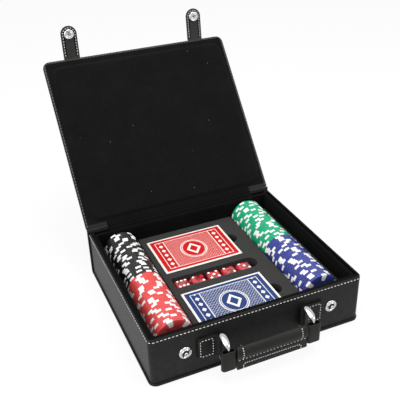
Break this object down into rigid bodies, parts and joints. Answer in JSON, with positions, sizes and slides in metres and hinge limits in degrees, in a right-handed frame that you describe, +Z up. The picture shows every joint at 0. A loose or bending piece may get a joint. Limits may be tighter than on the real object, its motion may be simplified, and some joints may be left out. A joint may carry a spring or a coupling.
{
  "type": "poker set case",
  "caption": "Open leatherette game case with a hinged lid, snap straps and a ring handle, holding chips, dice and card boxes in a foam insert.",
  "frame": {"origin": "centre of the tray on the surface that the case rests on, under the bottom board", "axes": "+Z up, +X to the right, the front with the handle faces -Y, the lid opens towards +Y"},
  "size_m": [0.229, 0.3631, 0.2498],
  "materials": {
    "leather": "fine-grained black leatherette, satin",
    "velvet": "short black velvet",
    "greyboard": "matt greyboard",
    "foam": "dark grey closed-cell foam, matt",
    "padding": "soft padding",
    "chrome": "polished chrome",
    "card_box_red": "printed card, satin varnish",
    "card_box_blue": "printed card, satin varnish",
    "cards": "stacked playing cards",
    "chip_black": "moulded chip, satin",
    "chip_red": "moulded chip, satin",
    "chip_green": "moulded chip, satin",
    "chip_blue": "moulded chip, satin",
    "chip_spot": "white edge spots, satin",
    "dice": "translucent red, glossy",
    "pip": "white paint",
    "thread": "off-white waxed sewing thread"
  },
  "bodies": {
    "base": {"base_cover": "leather", "bottom_board": "greyboard", "spine_board": "greyboard", "tray_cover": "leather", "tray_board": "greyboard", "tray_lining": "velvet", "foam_insert": "foam", "leather_fold": "leather", "rim_strip": "velvet", "patch_left": "leather", "patch_right": "leather", "stud_left": "chrome", "stud_right": "chrome"},
    "lid": {"lid_cover": "leather", "lid_board": "greyboard", "lid_pad": "velvet", "lid_border": "velvet", "lid_strip": "velvet"},
    "strap_left": {"strap_left": "leather", "snap_socket_left": "chrome", "snap_cap_left": "chrome"},
    "strap_right": {"strap_right": "leather", "snap_socket_right": "chrome", "snap_cap_right": "chrome"},
    "ring_left": {"ring_left": "chrome"},
    "ring_right": {"ring_right": "chrome"},
    "handle": {"handle_strap": "leather", "handle_padding": "padding", "handle_grip": "leather"},
    "cards_red": {"card_box_red": "card_box_red", "card_deck_red": "cards"},
    "cards_blue": {"card_box_blue": "card_box_blue", "card_deck_blue": "cards"},
    "chips_black": {"chips_black": "chip_black"},
    "chips_red": {"chips_red": "chip_red"},
    "chips_green": {"chips_green": "chip_green"},
    "chips_blue": {"chips_blue": "chip_blue"},
    "die_1": {"die_1": "dice"},
    "die_2": {"die_2": "dice"},
    "die_3": {"die_3": "dice"},
    "die_4": {"die_4": "dice"},
    "die_5": {"die_5": "dice"}
  },
  "joints": [
    {"name": "lid_hinge", "type": "hinge", "parent": "base", "child": "lid", "pos_m": [0, 0.1006, 0.0562], "axis": [-1, 0, 0], "range_deg": [-130, 50]},
    {"name": "strap_left_fold", "type": "hinge", "parent": "lid", "child": "strap_left", "pos_m": [-0.0784, 0.232, 0.21342], "axis": [-1, 0, 0], "range_deg": [-56, 79], "stiffness_Nm_per_rad": 0.01},
    {"name": "strap_right_fold", "type": "hinge", "parent": "lid", "child": "strap_right", "pos_m": [0.0784, 0.232, 0.21342], "axis": [-1, 0, 0], "range_deg": [-56, 79], "stiffness_Nm_per_rad": 0.01},
    {"name": "ring_left_swing", "type": "hinge", "parent": "base", "child": "ring_left", "pos_m": [-0.0448, -0.1023, 0.02625], "axis": [0, 0, 1], "range_deg": [-40, 40]},
    {"name": "handle_swing", "type": "hinge", "parent": "ring_left", "child": "handle", "pos_m": [-0.0448, -0.1203, 0.02625], "axis": [0, 0, 1], "range_deg": [-40, 40]},
    {"name": "ring_right_swing", "type": "hinge", "parent": "base", "child": "ring_right", "pos_m": [0.0448, -0.1023, 0.02625], "axis": [0, 0, 1], "range_deg": [-40, 40]},
    {"name": "cards_red_lift", "type": "slide", "parent": "base", "child": "cards_red", "axis": [0, 0, 1], "range_m": [0, 0.08]},
    {"name": "cards_blue_lift", "type": "slide", "parent": "base", "child": "cards_blue", "axis": [0, 0, 1], "range_m": [0, 0.08]},
    {"name": "chips_black_lift", "type": "slide", "parent": "base", "child": "chips_black", "axis": [0, 0, 1], "range_m": [0, 0.08]},
    {"name": "chips_red_lift", "type": "slide", "parent": "base", "child": "chips_red", "axis": [0, 0, 1], "range_m": [0, 0.08]},
    {"name": "chips_green_lift", "type": "slide", "parent": "base", "child": "chips_green", "axis": [0, 0, 1], "range_m": [0, 0.08]},
    {"name": "chips_blue_lift", "type": "slide", "parent": "base", "child": "chips_blue", "axis": [0, 0, 1], "range_m": [0, 0.08]},
    {"name": "die_1_lift", "type": "slide", "parent": "base", "child": "die_1", "axis": [0, 0, 1], "range_m": [0, 0.07]},
    {"name": "die_2_lift", "type": "slide", "parent": "base", "child": "die_2", "axis": [0, 0, 1], "range_m": [0, 0.07]},
    {"name": "die_3_lift", "type": "slide", "parent": "base", "child": "die_3", "axis": [0, 0, 1], "range_m": [0, 0.07]},
    {"name": "die_4_lift", "type": "slide", "parent": "base", "child": "die_4", "axis": [0, 0, 1], "range_m": [0, 0.07]},
    {"name": "die_5_lift", "type": "slide", "parent": "base", "child": "die_5", "axis": [0, 0, 1], "range_m": [0, 0.07]}
  ],
  "couplings": [
    {"joint": "handle_swing", "follows": "ring_left_swing", "ratio": -1},
    {"joint": "ring_right_swing", "follows": "ring_left_swing", "ratio": 1}
  ]
}
